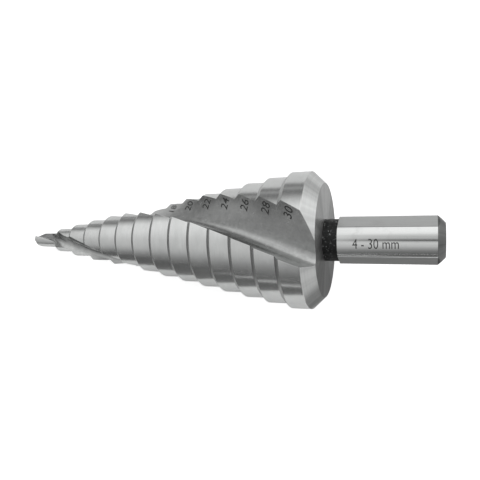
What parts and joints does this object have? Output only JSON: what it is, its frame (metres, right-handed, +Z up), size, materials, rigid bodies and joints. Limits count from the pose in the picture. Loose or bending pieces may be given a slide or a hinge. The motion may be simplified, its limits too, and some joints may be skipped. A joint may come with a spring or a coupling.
{
  "type": "step drill",
  "caption": "Spiral-fluted step drill for sheet metal, with stepped diameters from 4 to 30 mm, a split point and a 10 mm shank with chuck flats.",
  "frame": {"origin": "centre of the footprint, on the surface that the drill lies on", "axes": "+X from the point towards the shank, seen from above; +Z up. The drill's axis rises from the point by 9.2 degrees, because the cone lies on its edges."},
  "size_m": [0.1, 0.0298, 0.0292],
  "materials": {
    "ground_steel": "ground bright high-speed steel, with a dark heat-scaled neck"
  },
  "bodies": {
    "root": {"step_drill": "ground_steel"}
  },
  "joints": []
}
